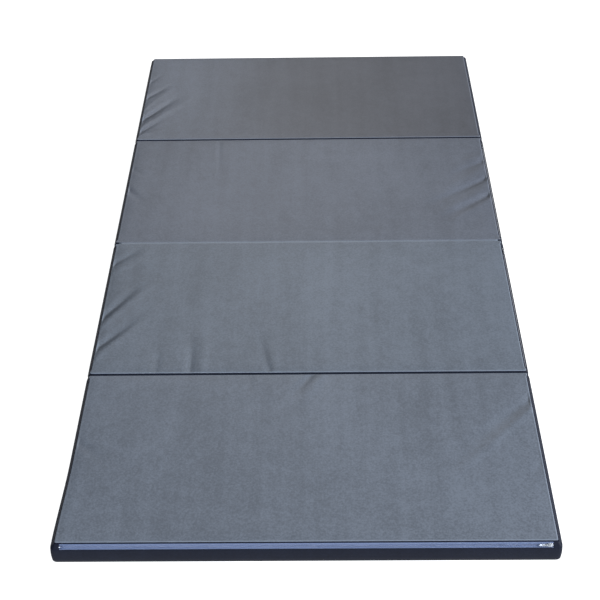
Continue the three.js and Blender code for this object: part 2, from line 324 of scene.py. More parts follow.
# %% Nylon and metal
def nylon(name, dark, light):
    finish = Finish(name, Specular_IOR_Level=0.6)
    drift = finish.noise(60.0, 2.0)
    finish.set(Base_Color=finish.blend(drift, dark, light), Roughness=0.3 + drift * 0.2)
    return finish.material


def plated_metal():
    finish = Finish("plated_metal", Metallic=1.0)
    drift = finish.noise(220.0, 3.0)
    scratches = finish.noise(1500.0, 2.0)
    finish.set(
        Base_Color=finish.blend(drift, (0.24, 0.25, 0.27), (0.38, 0.39, 0.42)),
        Roughness=0.24 + drift * 0.22,
        Normal=finish.bump(scratches, 0.00003, 0.4),
    )
    return finish.material


# The end teeth are a paler blue than the side teeth: a painted sheen of the front light.
END_NYLON_PAINTED_SHEEN = nylon("end_zip_nylon_painted_sheen", (0.090, 0.125, 0.235), (0.140, 0.190, 0.350))
SIDE_NYLON = nylon("side_zip_nylon", (0.018, 0.022, 0.036), (0.032, 0.038, 0.058))
METAL = plated_metal()
print("made", END_NYLON_PAINTED_SHEEN.name, SIDE_NYLON.name, "and", METAL.name)

# %% [markdown]
# ## How a panel's edge is shaped
# Seen in section, a cover's top rolls down to a seam; below the seam a slope turns out to the wall;
# and the wall stands down to a foot, a second seam and the bottom. At a fold the slope is narrow on
# the side that opens, and on the side where the strip joins two panels there is hardly any edge at
# all. One row of numbers describes each kind of edge, and a corner mixes the two rows that meet.


# %% Kinds of edge
def edge(shoulder, roll, drop, groove, bulge):
    """Slope width, roll width, height down to the seam, depth of the seam, swell of the wall."""
    return np.array([shoulder, roll, drop, groove, bulge])


CORNER = 20 * MM
RAISED = 1.6 * MM
OUTER_TOP = edge(OUTER_SHOULDER + RAISED, 6.5 * MM, SEAM_DROP - RAISED, 2.4 * MM, 1.2 * MM)
OPEN_TOP = edge(0.45 * FOLD_SHOULDER, 6.5 * MM, SEAM_DROP, 1.1 * MM, 0.6 * MM)
CLOSED = edge(0.7 * MM, 3.8 * MM, 2.8 * MM, 0.3 * MM, 0.6 * MM)
OUTER_BOTTOM = edge(1.6 * MM, 5 * MM, 4.6 * MM, 1.2 * MM, 1.2 * MM)
OPEN_BOTTOM = edge(0.6 * FOLD_SHOULDER, 6.5 * MM, SEAM_DROP, 1.1 * MM, 0.6 * MM)


def strip_is_high(fold):
    """Whether the strip of a fold, named by the panel in front of it, is at the top."""
    low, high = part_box(f"fold_strip_{fold}_{fold + 1}")
    return (low.z + high.z) / 2 > THICK / 2


def end_edges(fold):
    """The top and bottom edges on both sides of a fold, or of a free end where there is none."""
    if fold < 1 or fold >= len(PANELS):
        return OUTER_TOP, OUTER_BOTTOM
    return (CLOSED, OPEN_BOTTOM) if strip_is_high(fold) else (OPEN_TOP, CLOSED)


print("fold strips at the top:", [strip_is_high(fold) for fold in (1, 2, 3)])

# %% [markdown]
# ## The grid of a cover
# The cover is one closed net of four-sided faces, which swells evenly in a simulation and shades
# without pinching. The top is a grid. Its outer lines bend round the corners: a square border cell
# is pushed onto a rounded one. Extra lines stand where the side seams and the ends of a zip come.


# %% Grid lines
BORDER_STEPS = 8
GRID_STEP = 6.5 * MM
MARK_CLEARANCE = 0.35 * GRID_STEP
SEAM_HALF = 1.6 * MM
CORNER_POWER = 5.0
SEAM_LIP = 0.6 * MM


def grid_lines(half, marks):
    """Where each grid line is anchored, and how far out over the border it reaches, from -1 to 1."""
    inner = half - CORNER
    marks = np.array([side * mark for mark in marks for side in (-1, 1)])
    even = np.linspace(-inner, inner, round(2 * inner / GRID_STEP) + 1)
    clear = [abs(x) == inner or np.abs(marks - x).min(initial=1.0) > MARK_CLEARANCE for x in even]
    lines = np.unique(np.concatenate([even[clear], marks]).round(6))
    border = np.sin(np.linspace(0, math.pi / 2, BORDER_STEPS + 1))[1:]
    anchors = np.concatenate([np.full(BORDER_STEPS, -inner), lines, np.full(BORDER_STEPS, inner)])
    reach = np.concatenate([-border[::-1], np.zeros(len(lines)), border])
    return anchors, reach


SLOT_MARGIN = 0.3 * MM


def zip_half_slot(panel):
    """Half the length of the slot that a panel's zip shows in."""
    low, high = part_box(f"zip_top_stop_{panel}")
    if panel in (2, 3):
        middle = sum(span(panel)) / 2
        return max(abs(low.y - middle), abs(high.y - middle)) + SLOT_MARGIN
    return max(abs(low.x), abs(high.x)) + SLOT_MARGIN


print("half slots", [round(zip_half_slot(panel), 4) for panel in PANELS])


# %% Grid points
def smooth(x):
    x = np.clip(x, 0, 1)
    return x * x * (3 - 2 * x)


class Net:
    """The points of one panel's cover, as a grid from above, with what lies around each point."""

    def __init__(self, panel):
        self.panel = panel
        slot = zip_half_slot(panel)
        seams = [WALL_SEAM - SEAM_HALF, WALL_SEAM, WALL_SEAM + SEAM_HALF]
        x_marks = [] if panel in (2, 3) else [slot, slot - 1.2 * MM]
        x, x_reach = grid_lines(HALF_WIDTH, x_marks)
        y, y_reach = grid_lines(HALF_LENGTH, seams)
        self.shape = (len(x), len(y))
        self.anchor = np.stack(np.meshgrid(x, y, indexing="ij"), -1)
        reach = np.stack(np.meshgrid(x_reach, y_reach, indexing="ij"), -1)
        size = np.abs(reach)
        self.out = size.max(-1)
        shared = size.min(-1) / np.where(self.out > 0, self.out, 1) / 2
        self.turn = np.where(size[..., 0] >= size[..., 1], shared, 1 - shared)
        angle = self.turn * math.pi / 2
        self.heading = np.sign(reach) * np.stack([np.cos(angle), np.sin(angle)], -1)
        self.toward = np.sign(reach) * np.abs(self.heading) ** (2 / CORNER_POWER)
        self.middle = sum(span(panel)) / 2

    def edges(self, level):
        """The edge row that holds at each point: level 0 is the top, 1 is the bottom."""
        side = (OUTER_TOP, OUTER_BOTTOM)[level]
        front = end_edges(self.panel - 1)[level]
        rear = end_edges(self.panel)[level]
        ends = np.where(self.heading[..., 1:] < 0, front, rear)
        return side + (ends - side) * smooth(self.turn)[..., None]


print("grid of panel 1:", Net(1).shape)


# %% Top and bottom skins
ROLL_POWER = 2.3


def skin(net, level):
    """The points of the top or bottom skin, and how far inside its seam each one is."""
    rows = net.edges(level)
    shoulder, roll, drop = rows[..., 0], rows[..., 1], rows[..., 2]
    distance = net.out * (CORNER - shoulder - SEAM_LIP)
    inset = CORNER - distance
    flat = np.where(net.out > 0, inset, CORNER + roll)
    bent = np.clip((shoulder + roll - flat) / roll, 0, 1)
    fall = (drop - 2 * SEAM_LIP) * (1 - (1 - bent**ROLL_POWER) ** (1 / ROLL_POWER))
    plan = net.anchor + net.toward * distance[..., None]
    height = THICK - fall if level == 0 else fall
    return np.concatenate([plan, height[..., None]], -1), flat - shoulder, bent


print("skins roll over", BORDER_STEPS, "steps")

# %% [markdown]
# ## The sides of a cover
# Rings of points join the edge of the top to the edge of the bottom. They dip into the top seam,
# run down the slope, swell a little over the wall, and dip into the bottom seam. On the side with
# the zip, the rings on the slope also sink into a slot, between two turned hems.

# %% Rings
# Up the slope from the middle of the zip in mm, then swell, and depth in the slot
SLOPE_ROWS = (
    (7.4, 0.00, 0.00),
    (6.7, 0.30, -0.10),
    (5.6, 0.35, -0.10),
    (4.9, 0.35, -0.30),
    (4.3, 0.30, -0.25),
    (4.0, 0.25, 0.35),
    (3.8, 0.25, 2.80),
    (0.0, 0.30, 2.80),
    (-3.8, 0.25, 2.80),
    (-4.0, 0.25, 0.35),
    (-4.3, 0.30, -0.25),
    (-4.9, 0.35, -0.30),
    (-5.7, 0.20, 0.00),
)
HALF_ROOT = math.sqrt(0.5)
SLOPE = [
    (1 - (OUTER_SHOULDER / 2 + up * MM * HALF_ROOT) / OUTER_TOP[0], swell, depth)
    for up, swell, depth in SLOPE_ROWS
]
WALL_RINGS = 8
WALL_SEAM_DEPTH = 1.1 * MM


def rings(top, foot, slot, seam):
    """Insets and heights of the rings round a cover. Each argument has a row or number per point."""
    shoulder, _, drop, groove, bulge = top.T
    foot_in, _, foot_drop, foot_groove, _ = foot.T
    line = THICK - drop
    made = [(shoulder + groove, line)]
    for share, swell, depth in SLOPE:
        sunk = (depth * MM * slot - swell * MM * shoulder / OUTER_SHOULDER) * HALF_ROOT
        made.append((shoulder * (1 - share) + sunk + seam, line - shoulder * share - sunk))
    high, low = line - shoulder, foot_drop + foot_in
    for step in np.linspace(0, 1, WALL_RINGS):
        made.append((seam - bulge * (1 - (2 * step - 1) ** 2), high + (low - high) * step))
    made.append((foot_in * 0.85 + seam, foot_drop + 0.6 * MM))
    made.append((foot_in + foot_groove, foot_drop))
    return made


print("rings round a cover:", 3 + len(SLOPE) + WALL_RINGS)


# %% Zip side and side seams
def zip_side(panel):
    """The direction from a panel's middle to its zip."""
    low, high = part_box(f"zip_coil_{panel}")
    if high.x - low.x > high.y - low.y:
        return np.array([0.0, math.copysign(1.0, (low.y + high.y) / 2 - sum(span(panel)) / 2)])
    return np.array([math.copysign(1.0, low.x + high.x), 0.0])


def slot_share(net, rim):
    """1 for the points of the rim that are over the slot, and 0 for the rest."""
    toward = zip_side(net.panel)
    on_side = net.heading[rim] @ toward > 0.999
    along = np.abs(net.anchor[rim] @ toward[::-1])
    return (on_side & (along < zip_half_slot(net.panel) - 0.6 * MM)).astype(float)


def seam_depth(net, rim):
    """How deep the upright seams cut the long sides at each point of the rim."""
    on_side = np.abs(net.heading[rim][:, 0]) > 0.999
    away = np.abs(np.abs(net.anchor[rim][:, 1]) - WALL_SEAM)
    return WALL_SEAM_DEPTH * on_side * (away < 0.5 * MM)


print("zips face", [zip_side(panel).tolist() for panel in PANELS])

# %% [markdown]
# ## Swelling the fabric
# Foam is cut a little larger than its cover, so the vinyl is pushed out between its seams. A cloth
# simulation finds that shape: the seams and the bottom are held still, a small pressure acts inside,
# and gravity is off. The foam in a real mat would stop the vinyl after a millimetre or so, so the
# swelling is measured and eased off towards a limit.

# %% Swell
SWELL_FRAMES = 20
SWELL_LIMIT = 1.3 * MM
PRESSURE = 4


def make_cloth(piece, free):
    """Makes a cover behave as a blown-up fabric bag, held at every point that isn't free."""
    held = piece.vertex_groups.new(name="held")
    held.add([int(i) for i in np.flatnonzero(~free)], 1.0, "REPLACE")
    cloth = piece.modifiers.new("swell", "CLOTH")
    cloth.settings.quality = 3
    cloth.settings.mass = 0.3
    cloth.settings.tension_stiffness = 25
    cloth.settings.compression_stiffness = 12
    cloth.settings.shear_stiffness = 6
    cloth.settings.bending_stiffness = 0.6
    cloth.settings.use_pressure = True
    cloth.settings.uniform_pressure_force = PRESSURE
    cloth.settings.effector_weights.gravity = 0
    cloth.settings.vertex_group_mass = held.name
    cloth.point_cache.frame_start = 1
    cloth.point_cache.frame_end = SWELL_FRAMES


def swell(pieces):
    """How far the points of each cover move when all are blown up together, limited as by foam."""
    for step in range(1, SWELL_FRAMES + 1):
        bpy.context.scene.frame_set(step)
    depsgraph = bpy.context.evaluated_depsgraph_get()
    moves = []
    for piece in pieces:
        moved = points_of(piece.evaluated_get(depsgraph).data) - points_of(piece.data)
        length = np.linalg.norm(moved, axis=1)
        eased = SWELL_LIMIT * (1 - np.exp(-length / SWELL_LIMIT))
        moves.append(moved * (eased / np.maximum(length, 1e-9))[:, None])
        print(piece.name, "swelled", round(length.max() / MM, 2), "mm, kept", round(eased.max() / MM, 2))
    for piece in pieces:
        piece.modifiers.clear()
        piece.vertex_groups.clear()
    bpy.context.scene.frame_set(1)
    return moves


def points_of(mesh):
    flat = np.empty(len(mesh.vertices) * 3)
    mesh.vertices.foreach_get("co", flat)
    return flat.reshape(-1, 3)


print("simulation", "on")

# %% [markdown]
# ## Creases
# Where the cover was pulled round its foam, slack gathers at the ends of the panels in fans of
# shallow diagonal creases, and near a fold in a few soft upright ones. Each crease is a straight
# ridge or valley that starts at the panel's edge at full height and runs out as it widens. They were
# placed one by one: a simulation makes creases too, but not in chosen places.

# %% Crease list
# Panel: start, end, height in mm (below 0 for a valley), half width in mm at the start and the end
CREASES = {
    4: (
        ((-0.61, 0.73), (-0.47, 0.92), -2.4, 10, 18),
        ((-0.61, 0.68), (-0.42, 0.91), 1.7, 10, 22),
        ((-0.61, 0.65), (-0.52, 0.75), -1.4, 8, 12),
        ((-0.61, 0.635), (-0.49, 0.69), 1.0, 7, 14),
        ((-0.61, 0.89), (-0.51, 1.00), -1.5, 9, 14),
        ((-0.61, 0.81), (-0.50, 0.98), 1.2, 12, 18),
        ((-0.61, 1.00), (-0.55, 1.08), -0.8, 9, 12),
    ),
    3: (
        ((-0.61, 0.32), (-0.54, 0.22), -1.0, 12, 16),
        ((-0.61, 0.44), (-0.53, 0.36), -0.5, 10, 14),
        ((-0.31, 0.60), (-0.30, 0.34), -0.5, 9, 12),
        ((0.62, 0.52), (0.47, 0.41), 1.3, 13, 20),
        ((0.62, 0.475), (0.46, 0.355), -1.5, 12, 18),
        ((0.62, 0.425), (0.43, 0.28), 1.9, 12, 20),
        ((0.62, 0.372), (0.38, 0.185), -2.4, 12, 22),
        ((0.62, 0.322), (0.40, 0.13), 2.0, 12, 20),
        ((0.62, 0.277), (0.43, 0.12), -2.2, 11, 20),
        ((0.62, 0.237), (0.44, 0.09), 1.5, 11, 18),
    ),
    2: (
        ((-0.61, -0.12), (-0.51, -0.025), -1.5, 11, 15),
        ((-0.61, -0.165), (-0.47, -0.05), 0.9, 14, 20),
        ((-0.61, -0.385), (-0.50, -0.21), -2.0, 12, 18),
        ((-0.61, -0.425), (-0.42, -0.14), 1.6, 12, 24),
        ((-0.61, -0.515), (-0.49, -0.37), -2.0, 12, 18),
        ((-0.61, -0.565), (-0.39, -0.25), 1.3, 14, 24),
        ((-0.325, -0.61), (-0.33, -0.43), -1.0, 11, 16),
        ((-0.29, -0.61), (-0.29, -0.40), 0.8, 13, 20),
        ((-0.105, -0.61), (-0.145, -0.42), -1.0, 9, 16),
        ((-0.085, -0.61), (-0.09, -0.49), 0.7, 10, 16),
        ((-0.42, -0.61), (-0.42, -0.49), -0.6, 9, 14),
    ),
    1: (
        ((0.045, -0.61), (-0.03, -0.76), 1.5, 12, 20),
        ((0.015, -0.61), (-0.05, -0.72), -1.2, 11, 16),
        ((0.61, -0.745), (0.33, -1.04), 1.8, 9, 22),
        ((0.61, -0.705), (0.40, -0.91), -1.3, 14, 26),
        ((0.61, -0.93), (0.55, -1.02), -0.7, 13, 16),
        ((-0.61, -0.86), (-0.51, -0.95), -0.6, 13, 20),
        ((-0.16, -0.61), (-0.15, -0.70), -0.5, 10, 14),
    ),
}


# The tops of panels 2 and 3 fold against each other, so their ridges stay lower.
RIDGE_GAIN = 1.5
VALLEY_GAIN = 2.6
RIDGE_LIMIT = {1: 2.6 * MM, 2: 1.5 * MM, 3: 1.5 * MM, 4: 2.6 * MM}
SHRUNK_FOAM = 0.8 * MM


def crease_height(panel, plan):
    """How far the creases of a panel lift each point of its top."""
    total = np.zeros(len(plan))
    for start, end, height, near, far in CREASES[panel]:
        start, along = np.array(start), np.array(end) - np.array(start)
        share = (plan - start) @ along / (along @ along)
        away = np.linalg.norm(plan - start - np.clip(share, 0, 1)[:, None] * along, axis=1)
        half = (near + (far - near) * np.clip(share, 0, 1)) * MM
        fade = np.cos(np.clip(share, 0, 1) * math.pi / 2) ** 1.2
        gain = RIDGE_GAIN if height > 0 else VALLEY_GAIN
        total += gain * height * MM * fade * np.exp(-((away / (0.8 * half)) ** 2))
    limit = RIDGE_LIMIT[panel]
    return np.where(total > 0, limit * np.tanh(total / limit), total)


print("creases", {panel: len(rows) for panel, rows in CREASES.items()})


# %% Soft unevenness
WAVES = 9


def unevenness(plan, seed, wavelength, height):
    """A gentle relief made of waves in fixed scattered directions, the same on every run."""
    scatter = np.random.RandomState(seed)
    total = np.zeros(len(plan))
    for _ in range(WAVES):
        angle = scatter.uniform(0, math.tau)
        length = wavelength * scatter.uniform(0.6, 1.7)
        phase = scatter.uniform(0, math.tau)
        toward = np.array([math.cos(angle), math.sin(angle)])
        total += np.sin(plan @ toward * math.tau / length + phase)
    return height * total / math.sqrt(WAVES)


print("unevenness adds up", WAVES, "waves")


# %% [markdown]
# ## Sewing a cover together
# The skins and the rings become one closed mesh. Its top gets the creases, and both skins and walls
# get the swelling. The bottom lies on the floor, so there it stays flat, and its inner faces, which
# would only repeat one plane, are merged into one.


# %% How the near corner lies
CORNER_PULL = 6.5 * MM


def lay(panel, points):
    """The near left corner of the first panel was pulled outwards a little."""
    moved = points.copy()
    if panel == 1:
        near = smooth((-0.93 - points[:, 1]) / 0.28)
        moved[:, 0] -= CORNER_PULL * near * smooth((-0.1 - points[:, 0]) / 0.5)
    return moved


print("near corner pulled out by", CORNER_PULL / MM, "mm")


# %% Faces of the net
def rim_of(shape):
    """Grid indices once round the outside, anticlockwise from above."""
    last_x, last_y = shape[0] - 1, shape[1] - 1
    rim = [(i, 0) for i in range(last_x)]
    rim += [(last_x, j) for j in range(last_y)]
    rim += [(i, last_y) for i in range(last_x, 0, -1)]
    rim += [(0, j) for j in range(last_y, 0, -1)]
    return tuple(np.array(rim).T)


def grid_faces(index, flip):
    quads = np.stack([index[:-1, :-1], index[1:, :-1], index[1:, 1:], index[:-1, 1:]], -1).reshape(-1, 4)
    return quads[:, ::-1] if flip else quads


def band_faces(upper, lower):
    """Quads between two loops that run anticlockwise, the upper one first."""
    return np.stack([upper, lower, np.roll(lower, -1), np.roll(upper, -1)], -1)


print("points round a grid of 3 by 4:", len(rim_of((3, 4))[0]))


# %% Smoothed edges with a painted highlight
def edge_polish_and_highlight(bent):
    """1 where an edge turns over and 0 elsewhere: there the vinyl is made smoother, as rubbing would, and
    lighter, as a painted highlight.
    """
    return smooth((bent - 0.35) / 0.3) * (1 - 0.4 * smooth((bent - 0.85) / 0.15))


print("polish across a roll:", edge_polish_and_highlight(np.linspace(0, 1, 5)).round(2))


# %% Cover mesh
def cover_net(net):
    """Points, faces, a material for each face, and for each point: free, its inset and its share of
    smoothing and painted highlight.
    """
    rim = rim_of(net.shape)
    top, top_inset, top_bent = skin(net, 0)
    bottom, _, bottom_bent = skin(net, 1)
    count = net.shape[0] * net.shape[1]
    index = np.arange(count).reshape(net.shape)
    sides = rings(net.edges(0)[rim], net.edges(1)[rim], slot_share(net, rim), seam_depth(net, rim))
    points = [top.reshape(-1, 3)]
    loops = [index[rim]]
    for number, (inset, height) in enumerate(sides):
        plan = net.anchor[rim] + net.toward[rim] * (CORNER - inset)[:, None]
        points.append(np.concatenate([plan, height[:, None]], -1))
        loops.append(count + number * len(inset) + np.arange(len(inset)))
    under = count + len(sides) * len(rim[0]) + index
    points.append(bottom.reshape(-1, 3))
    loops.append(under[rim])
    bands = [band_faces(a, b) for a, b in zip(loops, loops[1:])]
    faces = [grid_faces(index, False), *bands, grid_faces(under, True)]
    share = slot_share(net, rim)
    # On the end panels the slope over the slot takes the light blue hem finish, a painted sheen. Elsewhere
    # it keeps the darkened wall vinyl.
    hem = 1 + (share * np.roll(share, -1) > 0) * (net.panel in (1, 4))
    # Index 1, the darkened wall vinyl, paints shade on the seam grooves and walls. Index 2, the hem finish,
    # is a paler blue that paints a sheen.
    shades = [np.zeros(len(faces[0]), int)]
    for number, band in enumerate(bands):
        on_slope = 2 <= number <= len(SLOPE)
        shades.append(hem if on_slope else np.ones(len(band), int))
    shades.append(np.zeros(len(faces[-1]), int))
    material = np.concatenate(shades)
    free = np.zeros(sum(len(p) for p in points), bool)
    free[:count] = (top_inset > 4 * MM).ravel()
    first_wall = count + (1 + len(SLOPE)) * len(rim[0])
    free[first_wall + len(rim[0]) : first_wall + (WALL_RINGS - 1) * len(rim[0])] = True
    # The turned edges of both skins get the mark for a smoother face and a painted highlight.
    polish_and_highlight = np.zeros(len(free))
    polish_and_highlight[:count] = edge_polish_and_highlight(top_bent.ravel())
    polish_and_highlight[-count:] = edge_polish_and_highlight(bottom_bent.ravel())
    return np.concatenate(points), np.concatenate(faces), material, free, top_inset.ravel(), polish_and_highlight


print("faces in the cover of panel 1:", len(cover_net(Net(1))[1]))


# %% Pieces
def piece_from(name, points, faces, materials, numbers=None):
    """A new object from points in the frame's axes, shaded smooth."""
    mesh = bpy.data.meshes.new(name)
    mesh.from_pydata([tuple(p) for p in points], [], [tuple(int(i) for i in f) for f in faces])
    for material in materials:
        mesh.materials.append(material)
    mesh.polygons.foreach_set("use_smooth", np.ones(len(mesh.polygons), bool))
    if numbers is not None:
        mesh.polygons.foreach_set("material_index", numbers.astype(np.int32))
    mesh.update()
    made = bpy.data.objects.new(name, mesh)
    bpy.context.collection.objects.link(made)
    return made


def merge_flat_bottom(piece):
    """Merges the faces that lie on the floor, which all share one plane."""
    work = bmesh.new()
    work.from_mesh(piece.data)
    flat = [f for f in work.faces if max(v.co.z for v in f.verts) < 1e-6]
    bmesh.ops.dissolve_faces(work, faces=flat, use_verts=False)
    work.to_mesh(piece.data)
    work.free()


print("pieces are shaded smooth")


# %% Blown covers
nets = {panel: Net(panel) for panel in PANELS}
covers = {}
insets = {}
for panel, net in nets.items():
    points, faces, material, free, insets[panel], polish_and_highlight = cover_net(net)
    points[:, 1] += net.middle
    # The walls take the darkened vinyl, which paints shade. The slot's hems take a paler blue, which paints
    # a sheen.
    finishes = [VINYL[panel], SHADED_WALL_VINYL, HEM_PAINTED_SHEEN]
    covers[panel] = piece_from(f"cover_{panel}", points, faces, finishes, material)
    covers[panel].data.attributes.new("polish_and_highlight", "FLOAT", "POINT").data.foreach_set("value", polish_and_highlight)
    make_cloth(covers[panel], free)
swelling = swell(covers.values())
print("cover points", [len(piece.data.vertices) for piece in covers.values()])


# %% Finished covers
def finish_cover(panel, piece, moved):
    """Adds the swelling and the creases, flattens the bottom, and gives the cover to its panel."""
    points = points_of(piece.data) + moved
    inset = insets[panel]
    top = np.arange(len(inset))
    plan = points[top, :2].copy()
    ease = smooth((inset + 1 * MM) / (9 * MM))
    lift = crease_height(panel, plan) + unevenness(plan, panel, 0.16, 0.10 * MM)
    points[top, 2] += (lift - SHRUNK_FOAM * np.any(moved)) * ease
    piece.data.vertices.foreach_set("co", lay(panel, points).ravel())
    merge_flat_bottom(piece)
    piece.data.update()
    nodes = ["foam_core", "top_skin", "bottom_skin", "front_wall", "rear_wall", "left_wall", "right_wall"]
    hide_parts(*[f"{node}_{panel}" for node in nodes])
    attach(piece, f"panel_{panel}")


for (panel, piece), moved in zip(covers.items(), swelling):
    finish_cover(panel, piece, moved)
    print(piece.name, len(piece.data.polygons), "faces")

# %% [markdown]
# ## Fold strips
# Between two panels only a strip of the same vinyl carries on, sewn under both skins. When the mat
# folds, the strip turns through half a circle in a width of fabric no greater than a finger's. A
# rigid piece would swing away from one panel; here each strip is one fixed piece, tied to neither
# panel. The strip of the middle fold lies in sight on top, where it is made smoother and paler; the
# paleness is a painted highlight.

# %% Strip section
STRIP_THICK = 1.1 * MM
STRIP_DEPTH = 0.9 * MM
STRIP_REACH = 2.6 * MM
STRIP_HALF = HALF_WIDTH - CORNER + 3 * MM
STRIP_SAG = 0.45 * MM
# How much a strip on top is smoothed and lightened; the lightening is a painted highlight.
STRIP_POLISH_AND_HIGHLIGHT = 0.8
STRIP_ROWS = 12
STRIP_CROSSINGS = 120


def strip_points(middle, high):
    """Two layers of points across a fold: the outer face first, then the inner."""
    across = np.linspace(-1, 1, STRIP_ROWS + 1)
    along = np.linspace(-STRIP_HALF, STRIP_HALF, STRIP_CROSSINGS + 1)
    x, share = np.meshgrid(along, across, indexing="ij")
    sag = STRIP_SAG * np.cos(share * math.pi / 2) ** 2
    y = middle + share * (FOLD_GAP / 2 + STRIP_REACH)
    sign = 1 if high else -1
    surface = THICK if high else 0.0
    outer = surface - sign * (STRIP_DEPTH + sag)
    inner = outer - sign * STRIP_THICK
    layers = [np.stack([x, y, z], -1) for z in (outer, inner)]
    return layers, x.shape


print("points in each face of a strip:", strip_points(0.0, True)[1])


# %% Strips
def fold_strip(fold):
    low, high = span(fold)[1], span(fold + 1)[0]
    middle = (low + high) / 2
    at_top = strip_is_high(fold)
    layers, shape = strip_points(middle, at_top)
    index = np.arange(shape[0] * shape[1]).reshape(shape)
    under = index + index.size
    rim = rim_of(shape)
    upper, lower = (index, under) if at_top else (under, index)
    faces = [grid_faces(upper, False), band_faces(upper[rim], lower[rim]), grid_faces(lower, True)]
    points = np.concatenate([layer.reshape(-1, 3) for layer in layers])
    # A strip under the mat takes the darkened wall vinyl: painted shade in the groove of its fold.
    stuff = VINYL[fold] if at_top else SHADED_WALL_VINYL
    piece = piece_from(f"strip_{fold}_{fold + 1}", points, np.concatenate(faces), [stuff])
    # A strip on top gets a lower roughness and a lighter colour; the lighter colour is a painted highlight.
    strip_smoothing_and_highlight = np.full(len(points), STRIP_POLISH_AND_HIGHLIGHT if at_top else 0.0)
    piece.data.attributes.new("polish_and_highlight", "FLOAT", "POINT").data.foreach_set("value", strip_smoothing_and_highlight)
    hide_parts(f"fold_strip_{fold}_{fold + 1}")
    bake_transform(piece)
    return piece


strips = [fold_strip(fold) for fold in (1, 2, 3)]
print("strips", [strip.name for strip in strips])

# %% [markdown]
# ## Zips
# Each cover is closed by a nylon zip on the slope under its top seam: along the free end of the two
# end panels, and along the right side of the two inner ones. A zip is drawn in its own small axes,
# X along the teeth, Y up the slope and Z outwards, and is then laid on the slope of its panel.


# %% Zip axes
def zip_axes(panel):
    """The matrix from a zip's own axes to the frame's."""
    toward = zip_side(panel)
    outward = Vector((*toward, 0.0))
    up = Vector((0.0, 0.0, 1.0))
    rise = (up - outward).normalized()
    face = (up + outward).normalized()
    reach = HALF_WIDTH if toward[0] else HALF_LENGTH
    middle = Vector((0.0, sum(span(panel)) / 2, 0.0))
    centre = middle + outward * (reach - OUTER_SHOULDER / 2)
    centre.z = THICK - SEAM_DROP - OUTER_SHOULDER / 2
    turned = Matrix((rise.cross(face), rise, face)).transposed().to_4x4()
    return Matrix.Translation(centre) @ turned


AXES = {panel: zip_axes(panel) for panel in PANELS}


def slider_place(panel):
    """How far along its zip the slider is parked."""
    low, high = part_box(f"zip_slider_{panel}")
    return (AXES[panel].inverted() @ ((low + high) / 2)).x


def coil_half(panel):
    low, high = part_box(f"zip_coil_{panel}")
    return max(high.x - low.x, high.y - low.y) / 2


print("sliders parked at", [round(slider_place(panel), 4) for panel in PANELS])


# %% Adding zip pieces
def zip_piece(panel, name, points, faces, material, body, nodes):
    """A piece drawn in millimetres in a zip's own axes, laid on its panel."""
    axes = np.array(AXES[panel])
    laid = lay(panel, np.asarray(points, float) * MM @ axes[:3, :3].T + axes[:3, 3])
    piece = piece_from(f"{name}_{panel}", laid, faces, [material])
    if nodes:
        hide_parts(*nodes)
    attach(piece, body)
    return piece


def repeated(points, faces, offsets):
    """Copies of one small shape, moved by each offset."""
    points, faces, offsets = map(np.asarray, (points, faces, offsets))
    everywhere = (points[None] + offsets[:, None]).reshape(-1, 3)
    numbered = (faces[None] + (np.arange(len(offsets)) * len(points))[:, None, None]).reshape(-1, 4)
    return everywhere, numbered


print("zips laid by", len(AXES), "matrices")


# %% Tape
TAPE_HALF = 3.95
TAPE_TOP = -1.5
TAPE_BOTTOM = -2.3


def tape(panel):
    """A woven band that dips under the teeth, with a raised selvedge along each side."""
    half = zip_half_slot(panel) / MM - 0.5
    across = np.array([-1, -0.93, -0.8, -0.62, 0, 0.62, 0.8, 0.93, 1]) * TAPE_HALF
    lift = np.array([0, 0.22, 0.25, -0.1, -0.25, -0.1, 0.25, 0.22, 0])
    along = np.linspace(-half, half, max(2, round(half / 6)))
    x, y = np.meshgrid(along, across, indexing="ij")
    face = TAPE_TOP + np.broadcast_to(lift, x.shape)
    index = np.arange(x.size).reshape(x.shape)
    under = index + index.size
    rim = rim_of(x.shape)
    faces = [grid_faces(index, False), band_faces(index[rim], under[rim]), grid_faces(under, True)]
    layers = [np.stack([x, y, z], -1).reshape(-1, 3) for z in (face, np.full(x.shape, TAPE_BOTTOM))]
    nodes = [f"zip_upper_tape_{panel}", f"zip_lower_tape_{panel}"]
    points = np.concatenate(layers)
    # End panels take the paler tape, which paints a sheen.
    stuff = SIDE_TAPE if panel in (2, 3) else END_TAPE_PAINTED_SHEEN
    return zip_piece(panel, "tape", points, np.concatenate(faces), stuff, f"panel_{panel}", nodes)


tapes = [tape(panel) for panel in PANELS]
print("tapes", len(tapes))

# %% [markdown]
# ### Teeth
# The teeth of a nylon zip are the turns of two flattened spirals. Closed, the turns of one side lie
# between the turns of the other. Only their outer halves show, so each turn is drawn as a short bar
# with a swollen head, and one bar is repeated along both sides, half a step apart.

# %% Teeth
TOOTH_PITCH = 1.7
TOOTH_TOP = -0.2
TOOTH_BOTTOM = -1.7


# Place along the bar, half width there, and how far its top is lowered, in mm
TOOTH_SECTIONS = (
    (-2.5, 0.30, 0.35),
    (-2.2, 0.34, 0.0),
    (-0.2, 0.36, 0.05),
    (0.25, 0.42, 0.0),
    (0.55, 0.25, 0.3),
)


def tube_faces(rings_along):
    """The faces of a four-sided tube, point after point round each ring, with both ends closed."""
    faces = [(3, 2, 1, 0)]
    for a in range(0, 4 * (rings_along - 1), 4):
        faces += [(a + k, a + (k + 1) % 4, a + 4 + (k + 1) % 4, a + 4 + k) for k in range(4)]
    last = 4 * (rings_along - 1)
    faces.append((last, last + 1, last + 2, last + 3))
    return np.array(faces)


